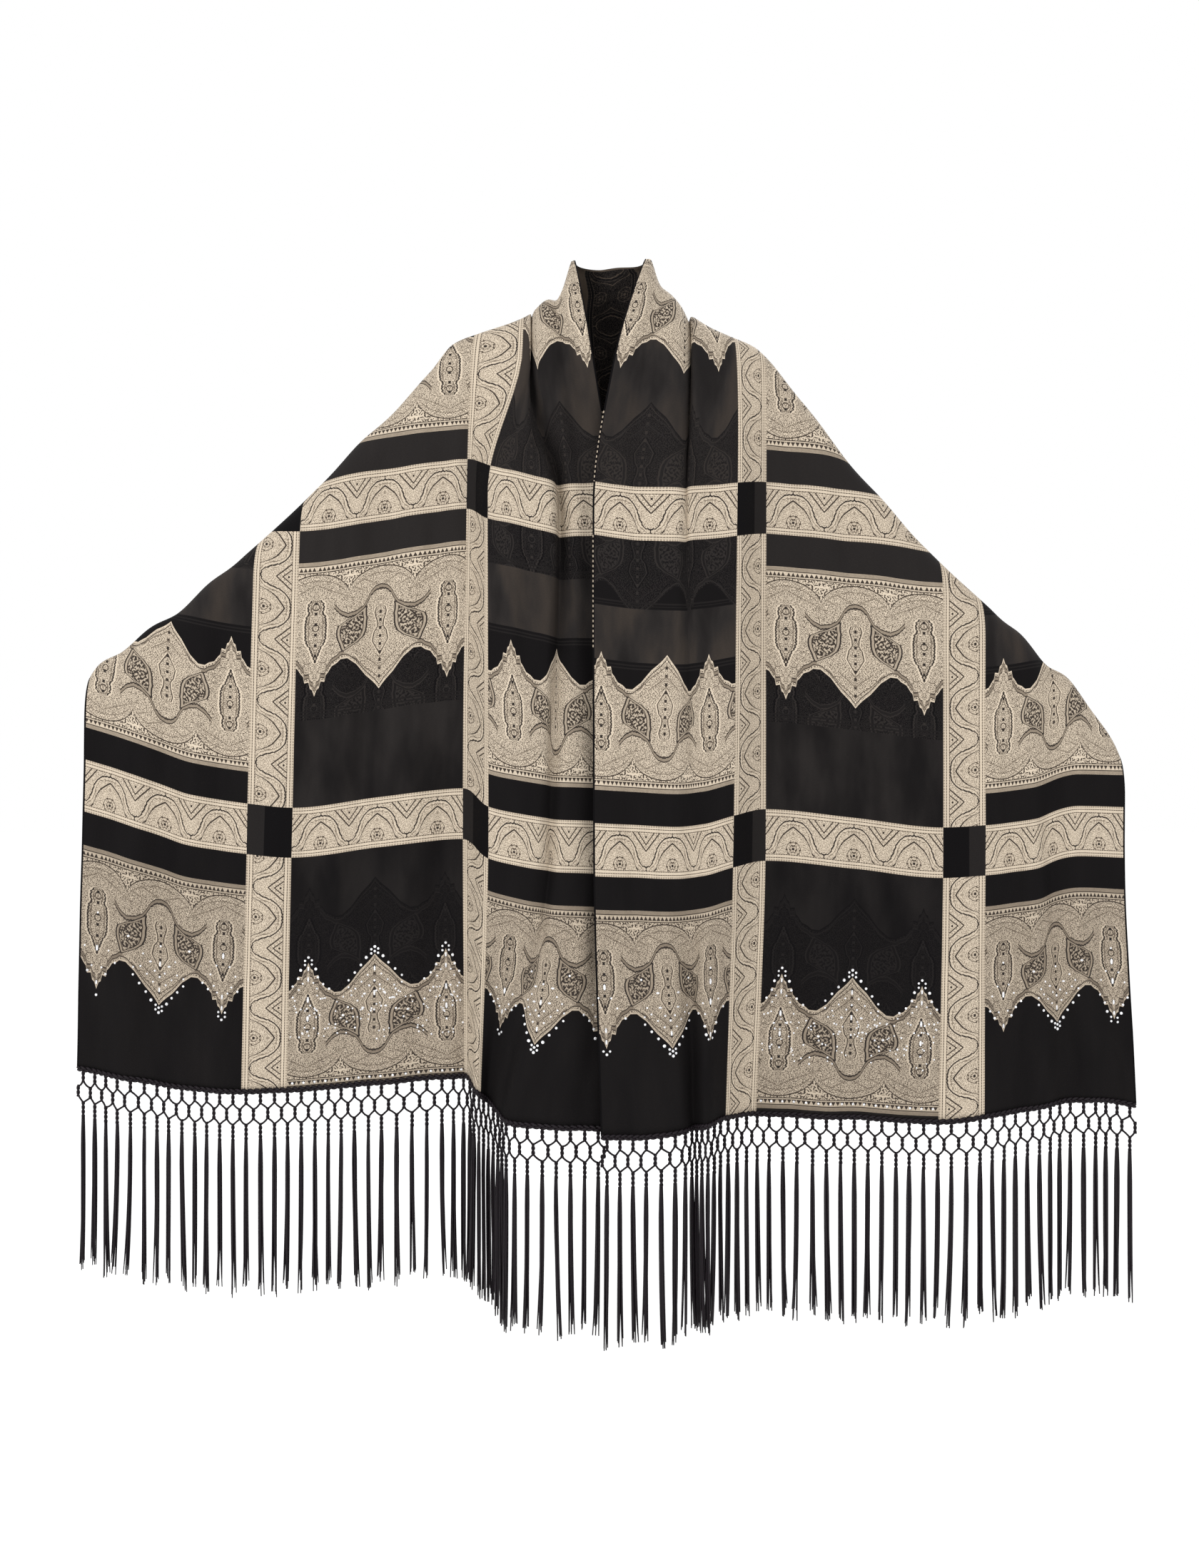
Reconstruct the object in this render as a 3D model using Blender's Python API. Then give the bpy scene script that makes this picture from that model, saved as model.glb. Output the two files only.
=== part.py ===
# A long fringed wrap worn as a cape: one rectangle of cloth lies behind the neck, hangs over both
# outstretched arms and falls in two front panels. Both short ends carry a knotted net and a fringe.
# Metres, +Z up, front towards -Y. The origin is the base of the neck that carries it.
#
# The cloth is described by two distances: across it from the inner selvedge (the one at the neck),
# and along each front panel from the hem upwards. Every line table below gives the place of one
# woven line across the cloth, a row for each fold or change of direction.

import math
import random

import bmesh
import bpy
import numpy as np

MM = 0.001

# driving dimensions of the cloth
CLOTH_WIDTH = 0.801          # selvedge to selvedge
BAND_SPACING = 0.410         # between the woven wave bands along the cloth
HEM_TO_BAND = {"left": 0.335, "right": 0.343}
YOKE_ABOVE_BAND = 0.180      # the line across the upper chest, above the second band
TOP_ABOVE_BAND = 0.365       # where the columns would end if they went on above the arms
WALL = 0.0015                # cloth thickness
SEAM_GAP = 0.0003            # between neighbouring pieces

# where the cloth bends over the arms and shoulders
ARM_DROP = 0.055             # height in which cloth turns over an arm
NECK_DROP = 0.190            # the same beside the neck, down over the chest
NECK_COLUMNS = 0.245         # distance across at which the one gives way to the other
NECK_FADE = 0.022            # and how gently
NAPE_HEIGHT = 0.098          # inner selvedge behind the neck
BACK_FALL = 0.996            # fall of the back's middle for each metre across the cloth
ARM_BACK = 0.046             # depth of the back below the arms
BLADE_BULGE = 0.026          # more depth over the shoulder blades
BLADE_WIDTH = 0.21
BACK_TURN = 0.060            # width in which the back turns over an arm
FULL_TURN_WIDTH = 0.30       # narrower stretches of the back turn in less, down to LEAST_TURN of it
LEAST_TURN = 0.75
FOLD_DRIFT = 2.0             # how far soft folds wander for each metre up, in radians

# driving dimensions of the fringe
STRANDS = 46
HEM_CORD = 0.007             # height of the braided cord along the hem
CORD_WIDTH = 0.0040
NET_CORD = 0.0145            # straight twisted cord between two crossings
KNOT = 0.003                 # height of a crossing
NET_SLANT = 0.002            # more height of the slanting pair between two crossings
TAIL = 0.203                 # twisted and then free hanging bundle below the last crossing
TAIL_WIDTH = 0.0058
TAIL_SPREAD = 0.006          # uneven lengths
FRINGE_WALL = 0.0036
NEIGHBOUR = 0.75             # cords nearer than this share of the pitch are joined by a slant

# mesh steps
COLUMNS = 42
FRONT_ROWS = 8
TURN_ROWS = 3
BACK_ROWS = 18
ROW_CLOSENESS = 0.55         # how much closer the back's rows lie near the arms, from 0 to 1
HALVINGS = 24

CLOTH = (0.36, 0.33, 0.27, 1.0)
BACK_CLOTH = (0.20, 0.18, 0.16, 1.0)
FRINGE = (0.022, 0.016, 0.022, 1.0)

# Lines across the cloth in millimetres. Columns: across, x, y, z.
LEFT_HEM = (
    (0, -6, -118, -995), (60, -64, -138, -990), (120, -119, -136, -985),
    (160, -135, -106, -979), (200, -150, -80, -968), (240, -163, -92, -956),
    (286, -182, -50, -942), (400, -294, -45, -951), (515, -405, -42, -961),
    (572, -462, -42, -963), (650, -534, -40, -958), (730, -608, -38, -946),
    (801, -671, -30, -935),
)
LEFT_LOW_BAND = (
    (0, 15, -106, -659), (60, -37, -114, -656), (95, -63, -120, -655),
    (135, -77, -121, -653), (180, -108, -122, -648), (229, -148, -110, -639),
    (286, -183, -60, -617), (400, -291, -46, -628), (515, -398, -45, -641),
    (572, -454, -45, -636), (650, -525, -43, -625), (730, -599, -38, -600),
    (801, -664, -30, -581),
)
LEFT_HIGH_BAND = (
    (0, 5, -98, -243), (62, -50, -108, -246), (107, -64, -118, -245),
    (170, -112, -122, -235), (229, -149, -108, -225), (286, -178, -60, -207),
    (400, -282, -46, -218), (515, -387, -45, -232), (572, -444, -45, -227),
    (650, -515, -43, -215), (730, -588, -38, -192), (801, -655, -30, -172),
)
LEFT_YOKE = (
    (0, -20, -100, -63), (50, -58, -104, -64), (95, -89, -106, -62),
    (210, -101, -102, -50), (229, -108, -96, -46), (286, -173, -55, -38),
    (400, -278, -46, -38), (515, -381, -45, -50), (572, -438, -45, -46),
    (650, -510, -43, -34), (730, -583, -38, -12), (801, -650, -30, 8),
)
LEFT_TOP = (
    (0, -50, -70, 118), (50, -78, -76, 120), (95, -98, -82, 120),
    (210, -107, -84, 126), (229, -112, -82, 130), (286, -160, -55, 144),
    (400, -274, -46, 145), (515, -376, -45, 134), (572, -433, -45, 138),
    (650, -505, -43, 150), (730, -578, -38, 172), (801, -645, -30, 192),
)
RIGHT_HEM = (
    (0, -12, -135, -1002), (55, 37, -139, -1001), (105, 84, -136, -997),
    (140, 101, -114, -995), (175, 114, -126, -991), (229, 141, -84, -988),
    (286, 182, -52, -989), (400, 296, -46, -994), (515, 410, -45, -1000),
    (572, 468, -45, -994), (650, 533, -43, -982), (730, 598, -40, -973),
    (801, 662, -30, -982),
)
RIGHT_LOW_BAND = (
    (0, -21, -130, -659), (60, 29, -133, -661), (120, 78, -132, -663),
    (175, 112, -118, -660), (229, 149, -111, -650), (286, 192, -66, -643),
    (400, 304, -48, -654), (515, 416, -45, -666), (572, 469, -45, -663),
    (650, 529, -44, -655), (730, 586, -40, -639), (801, 647, -32, -641),
)
RIGHT_HIGH_BAND = (
    (0, -22, -118, -246), (60, 31, -122, -253), (112, 83, -126, -255),
    (152, 93, -120, -253), (229, 154, -104, -246), (286, 193, -64, -238),
    (400, 305, -48, -245), (515, 416, -45, -256), (572, 469, -45, -253),
    (650, 529, -44, -245), (730, 592, -40, -230), (801, 650, -32, -230),
)
RIGHT_YOKE = (
    (0, 3, -104, -64), (55, 51, -108, -66), (100, 88, -110, -66),
    (145, 99, -104, -65), (190, 135, -94, -62), (229, 157, -82, -58),
    (286, 195, -52, -54), (400, 306, -46, -65), (515, 417, -45, -76),
    (572, 470, -45, -73), (650, 530, -43, -65), (730, 593, -40, -50),
    (801, 652, -32, -50),
)
RIGHT_TOP = (
    (0, 54, -72, 118), (55, 76, -78, 120), (100, 94, -84, 120),
    (145, 101, -84, 120), (190, 132, -80, 122), (229, 152, -76, 126),
    (286, 197, -52, 130), (400, 307, -46, 119), (515, 418, -45, 108),
    (572, 471, -45, 111), (650, 531, -43, 119), (730, 594, -40, 134),
    (801, 653, -32, 134),
)

# The crest over neck, shoulders and arms, seen from the front, in millimetres. Columns: x, z.
LEFT_CREST = (
    (-49, 86), (-60, 56), (-80, 38), (-106, 14), (-168, -8), (-198, -20), (-228, -58),
    (-288, -118), (-408, -239), (-528, -342), (-618, -408), (-648, -426), (-668, -458),
    (-678, -500),
)
RIGHT_CREST = (
    (52, 88), (62, 65), (92, 27), (122, 3), (152, -11), (182, -24), (202, -42), (242, -94),
    (302, -168), (362, -239), (422, -301), (482, -356), (542, -412), (602, -472),
    (636, -520), (660, -575),
)

LINES = {
    "left": (LEFT_HEM, LEFT_LOW_BAND, LEFT_HIGH_BAND, LEFT_YOKE, LEFT_TOP),
    "right": (RIGHT_HEM, RIGHT_LOW_BAND, RIGHT_HIGH_BAND, RIGHT_YOKE, RIGHT_TOP),
}
CREST = {"left": LEFT_CREST, "right": RIGHT_CREST}

# The main troughs. Columns: side, across (mm) at hem, low band, high band and yoke, depth (mm) at
# the same four heights, half width across (mm), lean towards the outer side (share of the depth).
TROUGHS = (
    ("left", 140, 115, 84, 152, 6, 12, 24, 30, 24, 0.25),
    ("left", 30, 30, 34, 46, 4, 5, 8, 14, 16, 0.0),
    ("right", 122, 148, 132, 122, 8, 8, 11, 22, 22, 0.25),
    ("right", 70, 64, 58, 48, 3, 4, 5, 9, 18, 0.0),
)
# Soft upright folds of the outer columns. Columns: side, first and last across (mm), folds,
# height of the fold (mm).
SOFT_FOLDS = (
    ("left", 590, 801, 2.5, 5),
    ("left", 300, 500, 2.0, 4),
    ("right", 590, 801, 2.5, 6),
    ("right", 300, 500, 2.0, 4),
)


def through(at, knots, values):
    """A smooth curve through the values at the knots, with no overshoot; values may have columns."""
    knots = np.asarray(knots, float)
    values = np.asarray(values, float)
    at = np.clip(np.asarray(at, float), knots[0], knots[-1])
    step = np.diff(knots)
    slope = (np.diff(values, axis=0).T / step).T
    both = slope[:-1] * slope[1:]
    mean = np.where(both > 0, 2 * both / np.where(both > 0, slope[:-1] + slope[1:], 1), 0)
    tangent = np.concatenate([slope[:1], mean, slope[-1:]])
    i = np.clip(np.searchsorted(knots, at, side="right") - 1, 0, len(step) - 1)
    wide = step[i]
    t = (at - knots[i]) / wide
    if values.ndim > 1:
        t = t[..., None]
        wide = wide[..., None]
    return (
        values[i] * (1 + 2 * t) * (1 - t) ** 2
        + values[i + 1] * t * t * (3 - 2 * t)
        + wide * tangent[i] * t * (1 - t) ** 2
        - wide * tangent[i + 1] * t * t * (1 - t)
    )


def levels(side):
    """Distances up from the hem of the line tables."""
    low = HEM_TO_BAND[side]
    high = low + BAND_SPACING
    return np.array([0, low, high, high + YOKE_ABOVE_BAND, high + TOP_ABOVE_BAND])


def on_lines(side, across):
    """Places where each column crosses the five lines: an array of lines, columns and x, y, z."""
    rows = []
    for table in LINES[side]:
        table = np.array(table) * MM
        rows.append(through(across, table[:, 0], table[:, 1:]))
    return np.array(rows)


def column_at(side, lines, up):
    """Place on each column, as if it went on above the arm, at its own distance up."""
    knots = levels(side)
    found = np.empty((len(up), 3))
    for k, distance in enumerate(up):
        found[k] = through(distance, knots, lines[:, k])
    return found


def crest_height(side, x):
    table = np.array(CREST[side]) * MM
    order = np.argsort(table[:, 0])
    return through(x, table[order, 0], table[order, 1])


def crest_distance(side, lines):
    """How far up each column meets the crest, by halving."""
    low = np.zeros(lines.shape[1])
    high = np.full(lines.shape[1], levels(side)[-1])
    for _ in range(HALVINGS):
        middle = (low + high) / 2
        place = column_at(side, lines, middle)
        above = place[:, 2] > crest_height(side, place[:, 0])
        high = np.where(above, middle, high)
        low = np.where(above, low, middle)
    return high


def turned(share):
    """How far cloth has come forward at this share of its turn over an arm."""
    return np.sqrt(1 - (1 - np.clip(share, 0, 1)) ** 2)


def drop_of(across):
    """Height of the turn: long beside the neck, short over the arms."""
    beside_neck = 1 / (1 + np.exp((across - NECK_COLUMNS) / NECK_FADE))
    return ARM_DROP + (NECK_DROP - ARM_DROP) * beside_neck


def fold_offset(side, across, up):
    """Offset into the cloth and sideways that the troughs and soft folds give."""
    depth = np.zeros_like(across)
    sideways = np.zeros_like(across)
    outwards = -1 if side == "left" else 1
    for row in TROUGHS:
        if row[0] != side:
            continue
        numbers = np.array(row[1:], float) * MM
        centre = through(up, levels(side)[:4], numbers[0:4])
        deep = through(up, levels(side)[:4], numbers[4:8])
        share = deep * np.exp(-(((across - centre) / numbers[8]) ** 2))
        depth += share
        sideways += outwards * share * row[10]
    for where, first, last, folds, height in SOFT_FOLDS:
        if where != side:
            continue
        share = np.clip((across / MM - first) / (last - first), 0, 1)
        fade = np.sin(math.pi * share)
        depth += height * MM * fade * np.sin(2 * math.pi * folds * share + FOLD_DRIFT * up)
    return depth, sideways


def front_points(side, across, shares):
    """Points of a front panel, rows from the hem to the crest."""
    lines = on_lines(side, across)
    top = crest_distance(side, lines)
    drop = drop_of(across)
    rows = []
    for kind, share in shares:
        if kind == "hang":
            up = share * (top - drop)
        else:
            up = top - drop * (1 - share)
        place = column_at(side, lines, up)
        depth, sideways = fold_offset(side, across, up)
        forward = turned((top - up) / drop)
        place[:, 1] = place[:, 1] * forward + depth * forward
        place[:, 2] -= depth * (1 - forward)
        place[:, 0] += sideways
        rows.append(place)
    return np.array(rows)


def front_shares():
    """Row positions: even down the hanging part, closer where the cloth turns over the arm."""
    hang = [("hang", k / FRONT_ROWS) for k in range(FRONT_ROWS)]
    turn = [("turn", math.sin(math.pi / 2 * k / TURN_ROWS)) for k in range(TURN_ROWS + 1)]
    return hang + turn


def back_points(across, left_crest, right_crest):
    """Rows from the left crest, round behind the shoulders, to the right crest."""
    rows = []
    middle_height = NAPE_HEIGHT - BACK_FALL * across
    for k in range(BACK_ROWS + 1):
        t = k / BACK_ROWS
        t = t + ((1 - math.cos(math.pi * t)) / 2 - t) * ROW_CLOSENESS
        place = left_crest * (1 - t) + right_crest * t
        ends = (left_crest[:, 2] + right_crest[:, 2]) / 2
        place[:, 2] -= 4 * t * (1 - t) * (ends - middle_height)
        run = np.minimum(place[:, 0] - left_crest[:, 0], right_crest[:, 0] - place[:, 0])
        share = (right_crest[:, 0] - left_crest[:, 0]) / FULL_TURN_WIDTH
        turn = BACK_TURN * np.clip(share, LEAST_TURN, 1)
        depth = ARM_BACK + BLADE_BULGE * np.exp(-((place[:, 0] / BLADE_WIDTH) ** 2))
        place[:, 1] = place[:, 1] + depth * turned(run / turn)
        rows.append(place)
    return np.array(rows)


def material(name, colour, roughness):
    made = bpy.data.materials.new(name)
    made.use_nodes = True
    shader = made.node_tree.nodes["Principled BSDF"]
    shader.inputs["Base Color"].default_value = colour
    shader.inputs["Roughness"].default_value = roughness
    shader.inputs["Metallic"].default_value = 0.0
    return made


def added(name, points, faces, look):
    """An object from its points and faces, with the faces of each sheet turned alike."""
    mesh = bpy.data.meshes.new(name)
    mesh.from_pydata([tuple(p) for p in points], [], faces)
    shape = bmesh.new()
    shape.from_mesh(mesh)
    bmesh.ops.recalc_face_normals(shape, faces=shape.faces)
    shape.to_mesh(mesh)
    shape.free()
    mesh.materials.append(look)
    made = bpy.data.objects.new(name, mesh)
    bpy.context.collection.objects.link(made)
    return made


def facing(rows):
    """The direction that the cloth faces at each of its points."""
    across = np.gradient(rows, axis=1)
    along = np.gradient(rows, axis=0)
    out = np.cross(across, along)
    return out / np.linalg.norm(out, axis=2)[:, :, None]


def drawn_back(rows, end):
    """Rows whose end row leaves half the seam gap to the next piece."""
    rows = rows.copy()
    step = rows[end + 1 if end == 0 else end - 1] - rows[end]
    rows[end] += step * (SEAM_GAP / 2 / np.linalg.norm(step, axis=1))[:, None]
    return rows


def sheet(name, rows, normals, ends, look):
    """A panel of cloth: its rows of points, moved out to both faces of the wall and closed."""
    high, wide = rows.shape[:2]
    layers = []
    for way in (0.5, -0.5):
        layer = rows + normals * WALL * way
        for end in ends:
            layer = drawn_back(layer, end)
        layers.append(layer.reshape(-1, 3))
    faces = []
    count = high * wide
    for j in range(high - 1):
        for i in range(wide - 1):
            corners = (j * wide + i, j * wide + i + 1, (j + 1) * wide + i + 1, (j + 1) * wide + i)
            faces.append(corners)
            faces.append(tuple(count + corner for corner in reversed(corners)))
    rim = [i for i in range(wide)]
    rim += [j * wide + wide - 1 for j in range(1, high)]
    rim += [(high - 1) * wide + i for i in range(wide - 2, -1, -1)]
    rim += [j * wide for j in range(high - 2, 0, -1)]
    for one, other in zip(rim, rim[1:] + rim[:1]):
        faces.append((other, one, count + one, count + other))
    return added(name, np.concatenate(layers), faces, look)


def hem_place(side, across, down):
    """A point of the fringe: under the hem at this distance across the cloth."""
    lines = on_lines(side, np.array([np.clip(across, 0, CLOTH_WIDTH)]))
    depth, sideways = fold_offset(side, np.array([across]), np.zeros(1))
    x, y, z = lines[0, 0]
    return (x + sideways[0], y + depth[0], z - down)


def fringe(side, look):
    """The hem cord, the knotted net of two rows of meshes and the hanging bundles, in one piece."""
    pitch = CLOTH_WIDTH / STRANDS
    half = CORD_WIDTH / 2
    uneven = random.Random(STRANDS if side == "left" else STRANDS + 1)
    points, faces, known = [], [], {}

    def at(across, down):
        key = (round(across, 6), round(down, 6))
        if key not in known:
            known[key] = len(points)
            points.append(hem_place(side, across, down))
        return known[key]

    def patch(*corners):
        faces.append([at(*corner) for corner in corners])

    top = SEAM_GAP + WALL / 2
    cord_end = HEM_CORD + NET_CORD
    first_meet = cord_end + KNOT + NET_SLANT
    second = first_meet + NET_CORD
    second_meet = second + KNOT + NET_SLANT
    upper = [pitch * (k + 0.5) for k in range(STRANDS)]
    between = [half + (CLOTH_WIDTH - 2 * half) * k / STRANDS for k in range(STRANDS + 1)]

    edges = [0.0]
    for across in upper:
        edges += [across - half, across + half]
    edges.append(CLOTH_WIDTH)
    for one, other in zip(edges, edges[1:]):
        patch((one, top), (other, top), (other, HEM_CORD), (one, HEM_CORD))

    def cord(across, start, end, wide=half):
        patch((across - half, start), (across + half, start), (across + wide, end), (across - wide, end))

    def parting(across, down):
        patch((across - half, down), (across + half, down), (across, down + KNOT))

    def meeting(across, down):
        patch((across - half, down), (across, down - KNOT), (across + half, down))

    def slants(starts, ends, start, end):
        """Each upper cord's pair of slanting cords, to its neighbours below."""
        for across, below, way in (
            (a, b, 1 if b > a else -1)
            for a in starts
            for b in ends
            if abs(a - b) < NEIGHBOUR * pitch
        ):
            patch(
                (across, start + KNOT),
                (across + way * half, start),
                (below, end - KNOT),
                (below - way * half, end),
            )

    for across in upper:
        cord(across, HEM_CORD, cord_end)
        parting(across, cord_end)
    slants(upper, between, cord_end, first_meet)
    for across in between:
        meeting(across, first_meet)
        cord(across, first_meet, second)
        parting(across, second)
    slants(between, upper, second, second_meet)
    for across in upper:
        meeting(across, second_meet)
        length = TAIL + uneven.uniform(-TAIL_SPREAD, TAIL_SPREAD)
        cord(across, second_meet, second_meet + length, TAIL_WIDTH / 2)
    made = added(f"fringe_{side}", points, faces, look)
    wall = made.modifiers.new("wall", "SOLIDIFY")
    wall.thickness = FRINGE_WALL
    wall.offset = 0.0
    return made


def clear_scene():
    for old in list(bpy.data.objects):
        bpy.data.objects.remove(old, do_unlink=True)


def build():
    clear_scene()
    cloth = material("front_cloth", CLOTH, 0.75)
    behind = material("back_cloth", BACK_CLOTH, 0.8)
    silk = material("fringe_silk", FRINGE, 0.6)
    across = np.linspace(0, CLOTH_WIDTH, COLUMNS)
    fronts = {}
    for side in ("left", "right"):
        fronts[side] = front_points(side, across, front_shares())
    back = back_points(across, fronts["left"][-1], fronts["right"][-1])
    whole = np.concatenate([fronts["left"], back[1:-1], fronts["right"][::-1]])
    normals = facing(whole)
    crest = len(fronts["left"]) - 1
    far_crest = crest + BACK_ROWS
    for name, first, last, ends, look in (
        ("front_left", 0, crest, (-1,), cloth),
        ("back", crest, far_crest, (0, -1), behind),
        ("front_right", far_crest, len(whole) - 1, (0,), cloth),
    ):
        sheet(name, whole[first : last + 1], normals[first : last + 1], ends, look)
    for side in ("left", "right"):
        fringe(side, silk)


build()
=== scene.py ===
import math
import random

import bpy
import numpy as np
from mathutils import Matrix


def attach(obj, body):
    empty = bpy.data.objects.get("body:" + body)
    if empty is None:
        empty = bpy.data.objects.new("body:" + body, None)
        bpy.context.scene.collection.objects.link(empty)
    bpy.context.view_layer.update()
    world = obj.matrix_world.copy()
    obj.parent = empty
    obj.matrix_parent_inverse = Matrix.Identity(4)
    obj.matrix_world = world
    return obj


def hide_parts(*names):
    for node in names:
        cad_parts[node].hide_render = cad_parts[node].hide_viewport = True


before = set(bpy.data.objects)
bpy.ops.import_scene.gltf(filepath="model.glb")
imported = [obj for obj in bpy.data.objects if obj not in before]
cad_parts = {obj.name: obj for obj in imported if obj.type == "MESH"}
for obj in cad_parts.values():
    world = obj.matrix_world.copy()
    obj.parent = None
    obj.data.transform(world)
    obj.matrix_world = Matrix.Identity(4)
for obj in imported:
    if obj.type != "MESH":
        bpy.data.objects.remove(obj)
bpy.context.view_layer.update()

BODY = "root"
MM = 0.001

# The cloth: one rectangle of two-tone jacquard, black and champagne, woven in silk and fine wool.
# It is worn, not sewn: the middle lies behind the neck, the rest hangs over both arms, and the ends
# fall as two front panels, the one at +X over the other.
CLOTH_WIDTH = 0.801
BAND_SPACING = 0.410
HEM_TO_BAND = {"left": 0.335, "right": 0.343}
CLOTH_LENGTH = sum(HEM_TO_BAND.values()) + 4 * BAND_SPACING
MIDDLE = HEM_TO_BAND["left"] + 2 * BAND_SPACING
YOKE_ABOVE_BAND = 0.180
TOP_ABOVE_BAND = 0.365
CLOTH_WALL = 0.0011

ARM_DROP = 0.055
NECK_DROP = 0.190
NAPE_HEIGHT = 0.098
BACK_FALL = 0.996
ARM_BACK = 0.046
BLADE_BULGE = 0.026
BLADE_WIDTH = 0.21
BACK_TURN = 0.060
# The back's turn over the arms grows to its full width where the crests lie this far apart.
FULL_TURN_WIDTH = 0.30
LEAST_TURN = 0.75
# The long turn beside the neck ends this far across, within the fade.
NECK_COLUMNS = 0.245
NECK_FADE = 0.022
# Share of even spacing in the back's rows, which lie closer near the crests.
ROW_EVENNESS = 0.45
# Waves that a soft fold drifts sideways for each metre up, in radians.
FOLD_DRIFT = 2.0
# Over these widths the ripples fade out below the crest and beside the inner selvedge.
RIPPLE_FADE_UP = 0.12
RIPPLE_FADE_ACROSS = 0.03
HALVINGS = 24

COLUMNS = 190
HANGING_ROWS = 78
TURN_ROWS = 9
BACK_ROWS = 64

# Lines across the cloth in millimetres. Columns: across, x, y, z.
LINES = {
    "left": (
        # hem
        (
            (0, -6, -118, -995), (60, -64, -138, -990), (120, -119, -136, -985),
            (160, -135, -106, -979), (200, -150, -80, -968), (240, -163, -92, -956),
            (286, -182, -50, -942), (400, -294, -45, -951), (515, -405, -42, -961),
            (572, -462, -42, -963), (650, -534, -40, -958), (730, -608, -38, -946),
            (801, -671, -30, -935),
        ),
        # lower wave band
        (
            (0, 15, -106, -659), (60, -37, -114, -656), (95, -63, -120, -655),
            (135, -77, -121, -653), (180, -108, -122, -648), (229, -148, -110, -639),
            (286, -183, -60, -617), (400, -291, -46, -628), (515, -398, -45, -641),
            (572, -454, -45, -636), (650, -525, -43, -625), (730, -599, -38, -600),
            (801, -664, -30, -581),
        ),
        # upper wave band
        (
            (0, 5, -98, -243), (62, -50, -108, -246), (107, -64, -118, -245),
            (170, -112, -122, -235), (229, -149, -108, -225), (286, -178, -60, -207),
            (400, -282, -46, -218), (515, -387, -45, -232), (572, -444, -45, -227),
            (650, -515, -43, -215), (730, -588, -38, -192), (801, -655, -30, -172),
        ),
        # yoke, across the upper chest
        (
            (0, -20, -100, -63), (50, -58, -104, -64), (95, -89, -106, -62),
            (210, -101, -102, -50), (229, -108, -96, -46), (286, -173, -55, -38),
            (400, -278, -46, -38), (515, -381, -45, -50), (572, -438, -45, -46),
            (650, -510, -43, -34), (730, -583, -38, -12), (801, -650, -30, 8),
        ),
        # where the columns would end above the arms
        (
            (0, -50, -70, 118), (50, -78, -76, 120), (95, -98, -82, 120),
            (210, -107, -84, 126), (229, -112, -82, 130), (286, -160, -55, 144),
            (400, -274, -46, 145), (515, -376, -45, 134), (572, -433, -45, 138),
            (650, -505, -43, 150), (730, -578, -38, 172), (801, -645, -30, 192),
        ),
    ),
    "right": (
        # hem
        (
            (0, -12, -135, -1002), (55, 37, -139, -1001), (105, 84, -136, -997),
            (140, 101, -114, -995), (175, 114, -126, -991), (229, 141, -84, -988),
            (286, 182, -52, -989), (400, 296, -46, -994), (515, 410, -45, -1000),
            (572, 468, -45, -994), (650, 533, -43, -982), (730, 598, -40, -973),
            (801, 662, -30, -982),
        ),
        # lower wave band
        (
            (0, -21, -130, -659), (60, 29, -133, -661), (120, 78, -132, -663),
            (175, 112, -118, -660), (229, 149, -111, -650), (286, 192, -66, -643),
            (400, 304, -48, -654), (515, 416, -45, -666), (572, 469, -45, -663),
            (650, 529, -44, -655), (730, 586, -40, -639), (801, 647, -32, -641),
        ),
        # upper wave band
        (
            (0, -22, -118, -246), (60, 31, -122, -253), (112, 83, -126, -255),
            (152, 93, -120, -253), (229, 154, -104, -246), (286, 193, -64, -238),
            (400, 305, -48, -245), (515, 416, -45, -256), (572, 469, -45, -253),
            (650, 529, -44, -245), (730, 592, -40, -230), (801, 650, -32, -230),
        ),
        # yoke, across the upper chest
        (
            (0, 3, -104, -64), (55, 51, -108, -66), (100, 88, -110, -66),
            (145, 99, -104, -65), (190, 135, -94, -62), (229, 157, -82, -58),
            (286, 195, -52, -54), (400, 306, -46, -65), (515, 417, -45, -76),
            (572, 470, -45, -73), (650, 530, -43, -65), (730, 593, -40, -50),
            (801, 652, -32, -50),
        ),
        # where the columns would end above the arms
        (
            (0, 54, -72, 118), (55, 76, -78, 120), (100, 94, -84, 120),
            (145, 101, -84, 120), (190, 132, -80, 122), (229, 152, -76, 126),
            (286, 197, -52, 130), (400, 307, -46, 119), (515, 418, -45, 108),
            (572, 471, -45, 111), (650, 531, -43, 119), (730, 594, -40, 134),
            (801, 653, -32, 134),
        ),
    ),
}

# The crest over neck, shoulders and arms in millimetres. Columns: x, z.
CREST = {
    "left": (
        (-49, 86), (-60, 56), (-80, 38), (-106, 14), (-168, -8), (-198, -20), (-228, -58),
        (-288, -118), (-408, -239), (-528, -342), (-618, -408), (-648, -426), (-668, -458),
        (-678, -500),
    ),
    "right": (
        (52, 88), (62, 65), (92, 27), (122, 3), (152, -11), (182, -24), (202, -42),
        (242, -94), (302, -168), (362, -239), (422, -301), (482, -356), (542, -412),
        (602, -472), (636, -520), (660, -575),
    ),
}

# The main troughs. Columns: side, across (mm) at hem, low band, high band and yoke, depth (mm) at
# the same four heights, half width across (mm), lean towards the outer side (share of the depth).
TROUGHS = (
    ("left", 140, 115, 84, 152, 6, 12, 24, 30, 24, 0.25),
    ("left", 30, 30, 34, 46, 4, 5, 8, 14, 16, 0.0),
    ("right", 122, 148, 132, 122, 8, 8, 11, 22, 22, 0.25),
    ("right", 70, 64, 58, 48, 3, 4, 5, 9, 18, 0.0),
)
# Soft upright folds of the outer columns. Columns: side, first and last across (mm), folds,
# height of the fold (mm).
SOFT_FOLDS = (
    ("left", 590, 801, 2.5, 5),
    ("left", 300, 500, 2.0, 4),
    ("right", 590, 801, 2.5, 6),
    ("right", 300, 500, 2.0, 4),
)


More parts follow.
